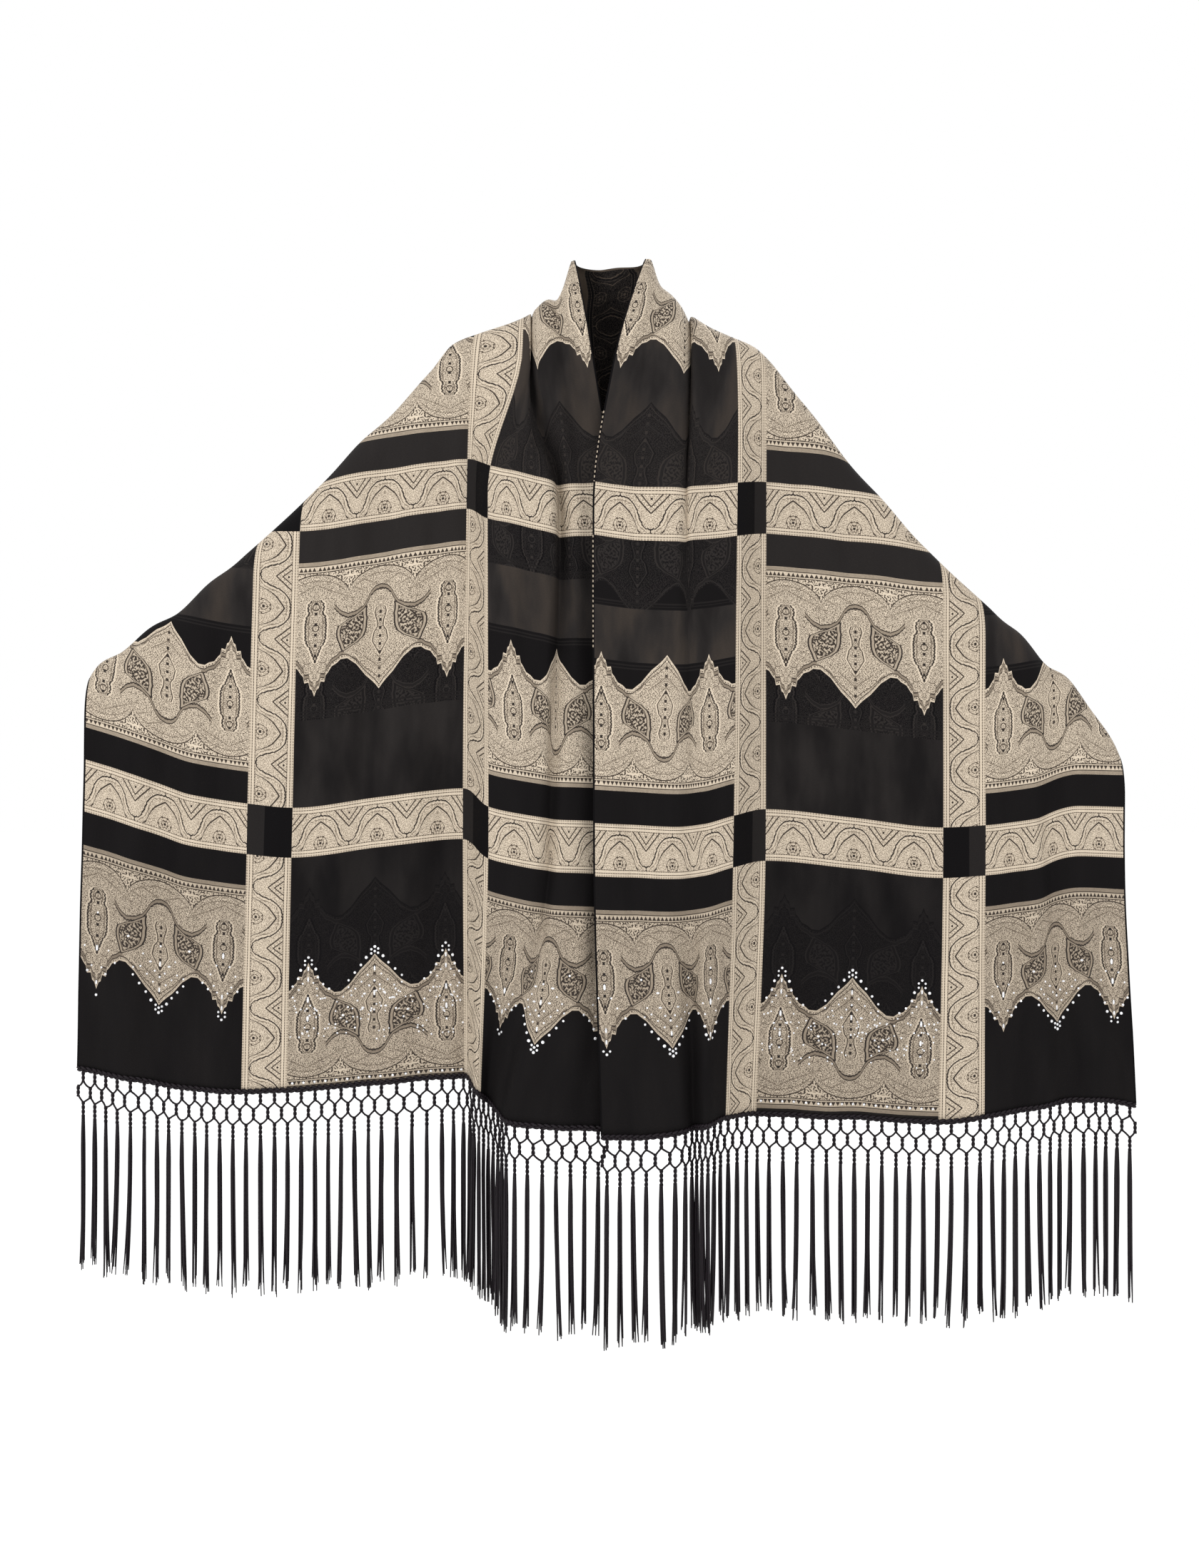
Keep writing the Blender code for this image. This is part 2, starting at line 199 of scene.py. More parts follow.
def through(at, knots, values):
    """A smooth curve through the values at the knots, with no overshoot."""
    knots = np.asarray(knots, float)
    values = np.asarray(values, float)
    at = np.clip(np.asarray(at, float), knots[0], knots[-1])
    step = np.diff(knots)
    slope = (np.diff(values, axis=0).T / step).T
    both = slope[:-1] * slope[1:]
    mean = np.where(both > 0, 2 * both / np.where(both > 0, slope[:-1] + slope[1:], 1), 0)
    tangent = np.concatenate([slope[:1], mean, slope[-1:]])
    i = np.clip(np.searchsorted(knots, at, side="right") - 1, 0, len(step) - 1)
    wide = step[i]
    t = (at - knots[i]) / wide
    if values.ndim > 1:
        t = t[..., None]
        wide = wide[..., None]
    return (
        values[i] * (1 + 2 * t) * (1 - t) ** 2
        + values[i + 1] * t * t * (3 - 2 * t)
        + wide * tangent[i] * t * (1 - t) ** 2
        - wide * tangent[i + 1] * t * t * (1 - t)
    )


def levels(side):
    """Distances up from the hem of the lines across the cloth."""
    low = HEM_TO_BAND[side]
    high = low + BAND_SPACING
    return np.array([0, low, high, high + YOKE_ABOVE_BAND, high + TOP_ABOVE_BAND])


def on_lines(side, across):
    """Places where each column crosses the five lines: an array of lines, columns and x, y, z."""
    rows = []
    for table in LINES[side]:
        table = np.array(table) * MM
        rows.append(through(across, table[:, 0], table[:, 1:]))
    return np.array(rows)


def column_at(side, lines, up):
    """Place on each column, as if it went on above the arm, at its own distance up."""
    knots = levels(side)
    found = np.empty((len(up), 3))
    for k, distance in enumerate(up):
        found[k] = through(distance, knots, lines[:, k])
    return found


def crest_height(side, x):
    table = np.array(CREST[side]) * MM
    order = np.argsort(table[:, 0])
    return through(x, table[order, 0], table[order, 1])


def crest_distance(side, lines):
    """How far up each column meets the crest, by halving."""
    low = np.full(lines.shape[1], levels(side)[1] * 0.9)
    high = np.full(lines.shape[1], levels(side)[-1])
    for _ in range(HALVINGS):
        middle = (low + high) / 2
        place = column_at(side, lines, middle)
        above = place[:, 2] > crest_height(side, place[:, 0])
        high = np.where(above, middle, high)
        low = np.where(above, low, middle)
    return high


def turned(share):
    """How far cloth has come forward at this share of its turn over an arm."""
    return np.sqrt(1 - (1 - np.clip(share, 0, 1)) ** 2)


def drop_of(across):
    """Height of the turn: long beside the neck, short over the arms."""
    beside_neck = 1 / (1 + np.exp((across - NECK_COLUMNS) / NECK_FADE))
    return ARM_DROP + (NECK_DROP - ARM_DROP) * beside_neck


def fold_offset(side, across, up):
    """Offset into the cloth and sideways that the troughs and soft folds give."""
    depth = np.zeros_like(across)
    sideways = np.zeros_like(across)
    outwards = -1 if side == "left" else 1
    for row in TROUGHS:
        if row[0] != side:
            continue
        numbers = np.array(row[1:], float) * MM
        centre = through(up, levels(side)[:4], numbers[0:4])
        deep = through(up, levels(side)[:4], numbers[4:8])
        share = deep * np.exp(-(((across - centre) / numbers[8]) ** 2))
        depth += share
        sideways += outwards * share * row[10]
    for where, first, last, folds, height in SOFT_FOLDS:
        if where != side:
            continue
        share = np.clip((across / MM - first) / (last - first), 0, 1)
        fade = np.sin(math.pi * share)
        depth += height * MM * fade * np.sin(2 * math.pi * folds * share + FOLD_DRIFT * up)
    return depth, sideways


# Low ripples over the panels, and swags across the back, too soft to be placed one by one.
# Columns: height (mm), waves across the cloth, waves along it, phase.
RIPPLES = (
    (1.6, 5.0, 0.8, 0.4), (1.3, 8.5, -1.1, 2.1), (0.9, 13.0, 1.7, 4.0), (0.7, 3.0, 3.1, 1.2),
    (0.35, 27.0, 4.3, 0.9), (0.3, 19.0, -9.0, 3.3),
)
SWAGS = ((6.0, 2.3, 0.6, 0.5), (3.0, 4.1, -1.0, 2.4), (1.5, 7.0, 1.6, 4.4))


def rippled(rows, across, along):
    total = np.zeros(np.broadcast(across, along).shape)
    for height, waves, runs, phase in rows:
        total += height * MM * np.sin(
            2 * math.pi * (waves * across / CLOTH_WIDTH + runs * along) + phase
        )
    return total


def front_place(side, across, up, lines=None, top=None):
    """Places on a front panel at these distances across and up."""
    lines = on_lines(side, across) if lines is None else lines
    top = crest_distance(side, lines) if top is None else top
    place = column_at(side, lines, up)
    depth, sideways = fold_offset(side, across, up)
    loose = np.clip((top - up) / RIPPLE_FADE_UP, 0, 1)
    loose = loose * np.clip(across / RIPPLE_FADE_ACROSS, 0, 1)
    depth = depth + rippled(RIPPLES, across, up + (0 if side == "left" else 3)) * loose
    forward = turned((top - up) / drop_of(across))
    place[:, 1] = place[:, 1] * forward + depth * forward
    place[:, 2] -= depth * (1 - forward)
    place[:, 0] += sideways
    return place


def front_rows(side, across):
    """Rows of a front panel from the hem to the crest, with how far up each point is."""
    lines = on_lines(side, across)
    top = crest_distance(side, lines)
    drop = drop_of(across)
    ups = [(top - drop) * k / HANGING_ROWS for k in range(HANGING_ROWS)]
    turns = [math.sin(math.pi / 2 * k / TURN_ROWS) for k in range(TURN_ROWS + 1)]
    ups += [top - drop * (1 - share) for share in turns]
    return np.array([front_place(side, across, up, lines, top) for up in ups]), np.array(ups)


def back_rows(across, left_crest, right_crest):
    """Rows from the left crest, round behind the shoulders, to the right crest."""
    rows = []
    middle_height = NAPE_HEIGHT - BACK_FALL * across
    for k in range(BACK_ROWS + 1):
        t = k / BACK_ROWS
        t = (1 - math.cos(math.pi * t)) / 2 * (1 - ROW_EVENNESS) + t * ROW_EVENNESS
        place = left_crest * (1 - t) + right_crest * t
        ends = (left_crest[:, 2] + right_crest[:, 2]) / 2
        place[:, 2] -= 4 * t * (1 - t) * (ends - middle_height)
        run = np.minimum(place[:, 0] - left_crest[:, 0], right_crest[:, 0] - place[:, 0])
        apart = (right_crest[:, 0] - left_crest[:, 0]) / FULL_TURN_WIDTH
        turn = BACK_TURN * np.clip(apart, LEAST_TURN, 1)
        depth = ARM_BACK + BLADE_BULGE * np.exp(-((place[:, 0] / BLADE_WIDTH) ** 2))
        depth = depth + rippled(SWAGS, across, t) * math.sin(math.pi * t) * (1 - across)
        place[:, 1] = place[:, 1] + depth * turned(run / turn)
        rows.append(place)
    return np.array(rows)


def add_mesh(name, points, faces):
    mesh = bpy.data.meshes.new(name)
    mesh.from_pydata([tuple(p) for p in points], [], faces)
    mesh.update()
    made = bpy.data.objects.new(name, mesh)
    bpy.context.collection.objects.link(made)
    return made


def make_cloth():
    """The whole rectangle in one sheet, with its own distances across and along as a map."""
    across = np.linspace(0, CLOTH_WIDTH, COLUMNS)
    left, left_up = front_rows("left", across)
    right, right_up = front_rows("right", across)
    back = back_rows(across, left[-1], right[-1])
    rows = np.concatenate([left, back[1:-1], right[::-1]])
    steps = np.linalg.norm(np.diff(back, axis=0), axis=2).cumsum(axis=0)
    shares = steps[:-1] / steps[-1]
    left_end = left_up[-1]
    right_end = CLOTH_LENGTH - right_up[-1]
    along = np.concatenate(
        [left_up, left_end + (right_end - left_end) * shares, CLOTH_LENGTH - right_up[::-1]]
    )
    high, wide = along.shape
    faces = [
        (j * wide + i, (j + 1) * wide + i, (j + 1) * wide + i + 1, j * wide + i + 1)
        for j in range(high - 1)
        for i in range(wide - 1)
    ]
    made = add_mesh("cloth", rows.reshape(-1, 3), faces)
    weave = made.data.uv_layers.new(name="weave")
    vertices = np.empty(len(made.data.loops), int)
    made.data.loops.foreach_get("vertex_index", vertices)
    places = np.stack([np.tile(across, high), along.ravel()], 1)[vertices]
    weave.uv.foreach_set("vector", places.astype(np.float32).ravel())
    made.data.shade_smooth()
    return made


cloth = make_cloth()


class Number:
    """A number that changes over the surface. Arithmetic on it adds Math nodes."""

    def __init__(self, look, socket):
        self.look = look
        self.socket = socket

    def __add__(self, other):
        return self.look.math("ADD", self, other)

    def __radd__(self, other):
        return self.look.math("ADD", other, self)

    def __sub__(self, other):
        return self.look.math("SUBTRACT", self, other)

    def __rsub__(self, other):
        return self.look.math("SUBTRACT", other, self)

    def __mul__(self, other):
        return self.look.math("MULTIPLY", self, other)

    def __rmul__(self, other):
        return self.look.math("MULTIPLY", other, self)

    def __truediv__(self, other):
        return self.look.math("DIVIDE", self, other)

    def __abs__(self):
        return self.look.math("ABSOLUTE", self)

    def __pow__(self, other):
        return self.look.math("POWER", self, other)


class Look:
    """A material under construction, with one method that adds any node."""

    def __init__(self, name, **constants):
        self.material = bpy.data.materials.new(name)
        self.material.use_nodes = True
        self.tree = self.material.node_tree
        self.surface = self.tree.nodes["Principled BSDF"]
        for socket, value in constants.items():
            self.surface.inputs[socket.replace("_", " ")].default_value = value

    def node(self, kind, settings=(), sockets=()):
        made = self.tree.nodes.new(kind)
        for name, value in dict(settings).items():
            if name == "stops":
                self.set_stops(made.color_ramp, value)
            else:
                setattr(made, name, value)
        for key, value in dict(sockets).items():
            self.feed(made.inputs[key], value)
        return made

    def set_stops(self, ramp, stops):
        while len(ramp.elements) < len(stops):
            ramp.elements.new(1.0)
        for element, (place, shade) in zip(ramp.elements, stops):
            element.position = place
            element.color = shade if hasattr(shade, "__len__") else (shade, shade, shade, 1)

    def feed(self, socket, value):
        if isinstance(value, Number):
            value = value.socket
        if isinstance(value, bpy.types.NodeSocket):
            self.tree.links.new(value, socket)
        else:
            socket.default_value = value

    def math(self, operation, *values):
        sockets = dict(enumerate(values))
        made = self.node("ShaderNodeMath", {"operation": operation}, sockets)
        return Number(self, made.outputs[0])

    def low(self, one, other):
        return self.math("MINIMUM", one, other)

    def high(self, one, other):
        return self.math("MAXIMUM", one, other)

    def rise(self, value, start, end):
        """0 below start, 1 above end, smooth between."""
        made = self.node(
            "ShaderNodeMapRange",
            {"interpolation_type": "SMOOTHSTEP"},
            {"Value": value, "From Min": start, "From Max": end},
        )
        return Number(self, made.outputs["Result"])

    def inside(self, value, start, end, blur=0.35):
        """1 between start and end."""
        return self.rise(value, start - blur, start + blur) * (
            1 - self.rise(value, end - blur, end + blur)
        )

    def line(self, distance, half, blur=0.4):
        """1 on a line of this half width."""
        return 1 - self.rise(abs(distance), half - blur, half + blur)

    def profile(self, value, stops, low, high):
        """A curve through (place, height) stops, by a ramp; heights lie between low and high."""
        last = stops[-1][0]
        scaled = [(place / last, (height - low) / (high - low)) for place, height in stops]
        made = self.node(
            "ShaderNodeValToRGB",
            {"stops": scaled},
            {"Fac": value / last},
        )
        return Number(self, made.outputs["Color"]) * (high - low) + low

    def noise(self, vector, scale, detail=0.0):
        made = self.node(
            "ShaderNodeTexNoise",
            {"noise_dimensions": "2D"},
            {"Vector": vector, "Scale": scale, "Detail": detail},
        )
        return Number(self, made.outputs[0])

    def flat(self, x, y):
        made = self.node("ShaderNodeCombineXYZ", (), {"X": x, "Y": y})
        return made.outputs[0]

    def mix(self, one, other, share):
        return one + (other - one) * share


def shade(red, green, blue):
    """A linear colour from the one that the eye sees, each part from 0 to 255."""
    parts = [part / 255 for part in (red, green, blue)]
    linear = [p / 12.92 if p <= 0.04045 else ((p + 0.055) / 1.055) ** 2.4 for p in parts]
    return (*linear, 1.0)


# The figure of the weave, in millimetres. Wave strips lie between the columns across the cloth, and
# wave bands cross them every 410 mm. Around every second band, shifted by one in the middle column,
# lie a plain stripe, a border of small triangles and an ornament band with a pointed edge. The
# ground between them is black, with the same ornament woven black on black, or plain.
COLUMN = 229.0
STRIP = 57.0
WAVE_HALF = 32.0
WAVE_PERIOD = 76.3
STRIP_PERIOD = 78.5
STRIPE_END = 72.0
BORDER_END = 86.0
MOTIF_HALF = 88.0
BROAD_MOTIF = {"side": 100.0, "middle": 116.0, "black": 62.0}
SELVEDGE = 2.6
# Distance from a broad motif's middle against distance from the band's middle.
EDGE = (
    (0, 241), (5, 235), (10, 230), (19, 222), (32, 206), (44, 197), (53, 197), (58, 201),
    (65, 204), (70, 211), (73, 214), (74.5, 222), (80, 221), (82, 229), (85, 231), (88, 239),
)
RIBBON = (
    (0, 113), (8, 115), (14, 120.5), (19, 130), (24, 137), (33, 142), (44, 144), (54, 139),
    (64, 129),
)
# Half widths, and the leaf's middle, against distance from the band's middle.
LEAF_MIDDLE = (
    (136, 20), (141, 24), (146, 28), (155, 38), (160, 39.2), (172, 40.5), (178, 42.5), (187, 50),
)
LEAF = (
    (136, 0), (141, 3.5), (146, 7.7), (150, 13.2), (155, 18), (160, 19.2), (166, 18.7),
    (172, 16.5), (178, 11.5), (184, 4.5), (187, 0),
)
KEYHOLE = (
    (137, 0), (139, 6), (145, 8), (150, 6.8), (156, 4.6), (163, 4.2), (169, 8.6), (180, 11),
    (187, 7), (194, 2.5), (198, 0),
)
BOTTLE = (
    (118, 0), (119.5, 6), (124, 10.4), (130, 11.2), (136, 9.6), (140, 13.2), (150, 14.4), (168, 14),
    (175, 11.5), (177, 8.8), (190, 3.2), (198, 0),
)

# Height of the wave against distance along it from a crest, its reverse, and the arch below it.
WAVE = (
    (0, 19), (8, 18.4), (14, 16), (20, 11), (24.5, 3), (27.5, -6), (31, -13.5), (35, -17.5),
    (40, -19),
)
WAVE_RISE = 19.0
WAVE_BACK = tuple((height + WAVE_RISE, place) for place, height in reversed(WAVE))
INNER_WAVE = ((0, 11.5), (3, 9.5), (8, 6), (14, 1), (18, -4), (22, -12), (25, -20), (40, -32))

TONES = (
    (0.0, shade(9, 8, 10)),
    (0.1, shade(41, 38, 37)),
    (0.35, shade(80, 70, 61)),
    (0.65, shade(146, 133, 117)),
    (1.0, shade(214, 199, 178)),
)


def widths(look, d, stops):
    """A measure of an upright figure at each distance d."""
    first = stops[0][0]
    moved = [(place - first, height) for place, height in stops]
    return look.profile(look.high(d - first, 0.0), moved, 0.0, 60.0)


def scrolls(look, x, y, size, lines):
    """Fine curling lines all over, mirrored with the coordinates that it gets."""
    cells = look.noise(look.flat(x, y), 1 / size, 1.0)
    return 1 - look.rise(look.math("PINGPONG", cells * lines, 0.5), 0.04, 0.20)


def specks(look, x, y):
    """Small dark seeds between the scrolls."""
    return 1 - look.rise(look.noise(look.flat(x * 1.1, y), 0.85, 0.0), 0.34, 0.42)


def wave_figure(look, along, up, half, period):
    """Tone of a wave band or strip: along it, and up from its middle to its outer side."""
    phase = look.math("WRAP", along, period / 2, -period / 2)
    p = abs(phase) * (2 * WAVE[-1][0] / period)
    crest = look.profile(p, WAVE, -20.0, 20.0)
    back = look.profile(look.high(up + WAVE_RISE, 0.0), WAVE_BACK, 0.0, 45.0)
    away = look.low(abs(up - crest), abs(p - back))
    lobe = look.rise(crest - up, -0.4, 0.4)
    marks = look.high(scrolls(look, p, up, 3.0, 4.4), specks(look, p, up))
    tone = 1.05 - 0.50 * marks
    tone = look.mix(tone, 1.02 - 0.25 * marks, look.line(away - 2.6, 1.3) * lobe)
    bead = look.math("PINGPONG", (p + up) * 0.75, 1.7) / 1.7
    tone = look.mix(tone, 0.12, look.line(away, 0.35 + bead * 0.95, 0.3))
    petal = look.math("PINGPONG", p + up * 0.6, 2.4)
    tone = look.mix(tone, 0.48, look.line(away - 5.0 + petal * 0.5, 0.45) * lobe)
    inner = abs(up - look.profile(p, INNER_WAVE, -35.0, 15.0)) * 0.72
    tone = look.mix(tone, 0.18, look.line(inner, 0.75) * look.rise(up + half, 9.0, 9.6))
    flower = look.math("SQRT", phase * phase + (up + 0.50 * half) ** 2)
    for ring, width in ((9.5, 0.7), (5.0, 0.6)):
        tone = look.mix(tone, 0.34, look.line(flower - ring + petal * 0.7, width))
    tone = look.mix(tone, 0.14, look.line(flower, 1.7))
    beside = WAVE[-1][0] - p
    for tip, spread, width in ((0.5, 0.87, 0.75), (8.5, 0.80, 0.6)):
        notch = abs(beside - look.high(up - tip, -3.0) * spread) * 0.75
        outside = look.rise(up, tip - 0.5, tip) * (1 - lobe)
        tone = look.mix(tone, 0.20, look.line(notch, width) * outside)
    dot = look.math("SQRT", beside * beside + (up - 0.56 * half) ** 2)
    tone = look.mix(tone, 0.14, look.line(dot, 1.3))
    rim = abs(up)
    tone = look.mix(tone, 0.94, look.rise(rim, half - 9.0, half - 8.6))
    dashes = look.rise(look.math("PINGPONG", along, 1.7), 0.35, 0.7)
    for inset in (8.4, 4.4):
        tone = look.mix(tone, 0.25, look.line(rim - (half - inset), 0.45) * (0.35 + 0.65 * dashes))
    return look.mix(tone, 0.70, look.rise(rim, half - 2.6, half - 2.0) * dashes)


def ornament_figure(look, t, d):
    """Tone of the ornament band with its border, and how far its pointed edge lies."""
    r = abs(t)
    n = MOTIF_HALF - r
    near = look.low(r, n)
    edge = look.profile(r, EDGE, 190.0, 250.0)
    depth = edge - d
    seeds = specks(look, r, d)
    tone = 1.0 - 0.66 * look.high(scrolls(look, r, d, 3.0, 4.4), seeds)

    lobe = 1 - (near / 46.0) ** 2
    arc = 122.0 - 34.0 * look.math("SQRT", look.high(lobe, 0.0))
    crowded = 0.95 - 0.70 * look.rise(look.noise(look.flat(r, d), 0.45, 1.0), 0.50, 0.58)
    bar = look.inside(d, 92.5, 95.0) * look.inside(n, 37.0, 54.0)
    tone = look.mix(tone, look.mix(crowded, 1.0, bar), look.rise(arc - d, -0.4, 0.4))
    tone = look.mix(tone, 0.25, look.line(arc - d, 0.65))
    beads = look.math("PINGPONG", near, 2.0)
    tone = look.mix(tone, 0.50, look.line(arc + 8.5 - d - beads * 0.6, 0.55))
    rays = look.line(look.math("PINGPONG", d + r * 0.45, 7.0), 0.55)
    tone = look.mix(tone, 0.55, rays * look.inside(d - arc, 10.0, 22.0))

    ribbon = d - look.profile(r, RIBBON, 110.0, 150.0)
    drawn = 1 - look.rise(r, 62.0, 65.0)
    tone = look.mix(tone, 0.62, look.inside(ribbon, -2.4, 2.8) * drawn)
    tone = look.mix(tone, 0.15, look.line(ribbon + 2.6, 0.6) * drawn)
    tone = look.mix(tone, 0.15, look.line(ribbon - 2.8 + beads * 0.4, 0.9) * drawn)

    leaf = abs(r - widths(look, d, LEAF_MIDDLE)) - widths(look, d, LEAF)
    tall = look.inside(d, 135.0, 187.0)
    flowers = look.rise(look.noise(look.flat(r, d), 0.34, 1.0), 0.46, 0.56)
    filling = 0.20 + 0.66 * flowers * (1 - 0.5 * seeds)
    tone = look.mix(tone, filling, (1 - look.rise(leaf, -4.2, -3.6)) * tall)
    tone = look.mix(tone, 0.74, look.inside(leaf, -3.9, 0.6) * tall)
    tone = look.mix(tone, 0.14, look.line(leaf - 0.6, 0.95) * tall)
    tone = look.mix(tone, 0.20, look.line(leaf + 4.0, 0.55) * tall)

    key = r - widths(look, d, KEYHOLE)
    tall = look.inside(d, 137.0, 198.0)
    tone = look.mix(tone, 0.98, look.inside(key, 0.0, 2.2) * tall)
    tone = look.mix(tone, 0.24, look.line(key, 0.65) * tall)
    spine = look.line(r, 1.6) * look.rise(look.math("PINGPONG", d, 5.0), 2.8, 3.6)
    tone = look.mix(tone, 0.16, spine * look.inside(d, 142.0, 232.0))
    echo = look.line(look.math("PINGPONG", depth + r * 0.2, 6.5), 0.6)
    tone = look.mix(tone, 0.45, echo * look.inside(d, 196.0, 228.0))

    bottle = n - widths(look, d, BOTTLE)
    tall = look.inside(d, 118.0, 198.0)
    studs = look.math("PINGPONG", d, 2.0) * 0.7
    tone = look.mix(tone, 0.98, look.inside(bottle, 0.8, 3.0) * tall)
    tone = look.mix(tone, 0.14, look.line(bottle + studs, 0.95) * tall)
    tone = look.mix(tone, 0.45, look.line(bottle + 4.6, 0.55) * tall)
    bud = look.math("SQRT", n * n + look.math("PINGPONG", d - 128.0, 13.0) ** 2)
    tone = look.mix(tone, 0.26, look.line(bud - 4.2, 0.6) * look.inside(d, 124.0, 172.0))
    drops = look.rise(look.math("PINGPONG", d, 6.5), 4.4, 5.2) * tall
    tone = look.mix(tone, 0.12, look.line(n, 1.7) * drops)

    crown = look.rise(r, 47.0, 50.0)
    tone = look.mix(tone, 0.58, look.inside(depth, 5.4, 9.6) * crown)
    tone = look.mix(tone, 0.16, look.line(depth - 9.8, 0.6) * crown)
    tone = look.mix(tone, 0.22, look.line(depth - 5.2, 0.6))
    studs = look.rise(look.math("PINGPONG", r, 1.9), 0.9, 1.3) * crown
    tone = look.mix(tone, 0.35, look.line(depth - 2.6, 0.9) * studs)
    tone = look.mix(tone, 0.92, look.rise(2.2 - depth, -0.4, 0.4))

    tooth = look.math("PINGPONG", t, 2.9) / 2.9
    teeth = look.rise(tooth * 5.2 - (83.6 - d), -0.2, 0.6) * look.inside(d, 78.6, 83.6)
    rows = look.mix(0.92, 0.22, teeth)
    rows = look.mix(rows, 0.66, look.inside(d, STRIPE_END - 2, 76.4))
    rows = look.mix(rows, 0.18, look.line(d - 77.2, 0.55))
    rows = look.mix(rows, 0.22, look.line(d - 85.6, 0.6))
    return look.mix(rows, tone, look.rise(d, BORDER_END - 0.3, BORDER_END + 0.3))


def jacquard(name, face):
    """The cloth's finish, with face 1 for the right side and 0 for the reverse, which is softer."""
    look = Look(name, Specular_IOR_Level=0.05)
    weave = look.node("ShaderNodeUVMap", {"uv_map": "weave"})
    parts = look.node("ShaderNodeSeparateXYZ", (), {0: weave.outputs[0]})
    across = Number(look, parts.outputs["X"]) * 1000.0
    along = Number(look, parts.outputs["Y"]) * 1000.0
    q = abs(along - MIDDLE / MM)
    spacing = BAND_SPACING / MM

    x = look.math("MODULO", across, COLUMN + STRIP)
    strip = look.rise(x, COLUMN - 0.3, COLUMN + 0.3)
    middle = look.inside(across, COLUMN + STRIP / 2, 2 * COLUMN + 1.5 * STRIP)
    b = look.math("WRAP", q, spacing / 2, -spacing / 2)
    wave = 1 - look.rise(abs(b), WAVE_HALF - 0.3, WAVE_HALF + 0.3)
    d = look.math("PINGPONG", abs(q - spacing * middle), spacing)
    past_high = look.rise(q, spacing - 1, spacing + 1)
    past_low = look.rise(q, 2 * spacing - 1, 2 * spacing + 1)
    right_end = look.rise(along, MIDDLE / MM - 1, MIDDLE / MM + 1)

    shift = look.mix(
        BROAD_MOTIF["side"], BROAD_MOTIF["middle"], look.rise(across, COLUMN + 20, COLUMN + 30)
    )
    t = look.math("WRAP", x - shift, MOTIF_HALF, -MOTIF_HALF)
    ornate = look.inside(d, STRIPE_END, look.profile(abs(t), EDGE, 190.0, 250.0))
    black_t = look.math("WRAP", x - BROAD_MOTIF["black"], MOTIF_HALF, -MOTIF_HALF)
    black_d = look.mix(2 * spacing - 301.0 - d, d - 100.0, middle)
    black_t = look.mix(black_t, t, middle)
    figured = ornament_figure(look, look.mix(black_t, t, ornate), look.mix(black_d, d, ornate))

    pointed = look.rise(look.profile(abs(black_t), EDGE, 190.0, 250.0) - black_d, -0.5, 0.5)
    plain_start = 254.0 - 24.0 * right_end
    plain_end = 326.0 - 31.0 * right_end
    plain = look.rise(d - plain_start, -0.5, 0.5) * (1 - look.rise(d - plain_end, -0.5, 0.5))
    side_black = look.mix(look.mix(pointed, 1 - plain, past_high), 1.0, past_low)
    middle_black = look.mix(1 - look.rise(d, 267.5, 268.5), pointed, past_low)
    black = look.mix(side_black, middle_black, middle)
    stripe = 1 - look.rise(d, STRIPE_END - 1, STRIPE_END)
    edges = look.mix(
        look.line(d - plain_start + 6.0, 3.0) + look.line(d - plain_end - 6.0, 3.0),
        look.line(d - 261.0, 5.0),
        middle,
    )
    edges = edges * look.rise(look.math("PINGPONG", d, 2.0), 0.8, 1.2)
    edges = look.low(edges, 1.0) * past_high * (1 - past_low)
    cloudy = look.noise(look.flat(across * 0.02, along * 0.007), 1.0, 3.0)
    plain_tone = (0.050 + 0.11 * look.rise(cloudy, 0.25, 0.75)) * (1 - 0.35 * past_low)
    plain_tone = plain_tone * (1.10 - 0.50 * middle)
    clear = 1 - 0.55 * past_low
    ghost = 0.012 + 0.018 * (1 - middle) * (1 - past_high)
    ghost = ghost + 0.12 * clear * (1 - figured) * (1 - past_low * (1 - middle))
    ghost = ghost + 0.035 * cloudy * past_low * (1 - middle)
    ground = look.mix(plain_tone, ghost, black)
    ground = look.mix(ground, 0.055, edges)
    ground = look.mix(ground, look.mix(0.015, 0.075, middle) + 0.02 * cloudy, stripe)

    runs = look.mix(x - 38.0, (along - 67.0) * (WAVE_PERIOD / STRIP_PERIOD), strip)
    rises = look.mix(0 - b, COLUMN + STRIP / 2 - x, strip)
    waves = wave_figure(look, runs, rises, look.mix(WAVE_HALF, STRIP / 2, strip), WAVE_PERIOD)
    tone = look.mix(ground, figured * (1 - 0.14 * past_low), ornate)
    tone = look.mix(tone, waves, look.high(wave, strip))
    square = 0.012 + 0.06 * look.rise(x, COLUMN + STRIP * 0.6, COLUMN + STRIP * 0.62)
    tone = look.mix(tone, square, strip * wave)
    outer = look.low(across, CLOTH_WIDTH / MM - across)
    selvedge = 1 - look.rise(outer, SELVEDGE - 0.3, SELVEDGE + 0.3)
    dots = look.rise(look.math("PINGPONG", along, 3.0), 1.3, 1.8) * look.inside(q, 290.0, 580.0)
    dots = dots * (1 - look.rise(outer, 1.3, 1.7)) * (1 - wave)
    tone = look.mix(tone, 0.01 + 0.8 * dots, selvedge)

    yarn = look.noise(look.flat(across * 0.35, along), 0.9, 2.0)
    slub = look.noise(look.flat(across, along * 0.15), 0.08, 2.0)
    tone = tone * (0.88 + 0.24 * yarn) * (0.94 + 0.12 * slub)
    if not face:
        tone = look.high(0.34 - 0.34 * tone, 0.0)
    ramp = look.node("ShaderNodeValToRGB", {"stops": TONES}, {"Fac": tone})
    look.feed(look.surface.inputs["Base Color"], ramp.outputs["Color"])
    look.feed(look.surface.inputs["Roughness"], 0.80 - 0.25 * tone)
    relief = look.node(
        "ShaderNodeBump", (), {"Strength": 0.4, "Distance": 0.0007, "Height": yarn}
    )
    look.feed(look.surface.inputs["Normal"], relief.outputs[0])
    return look.material


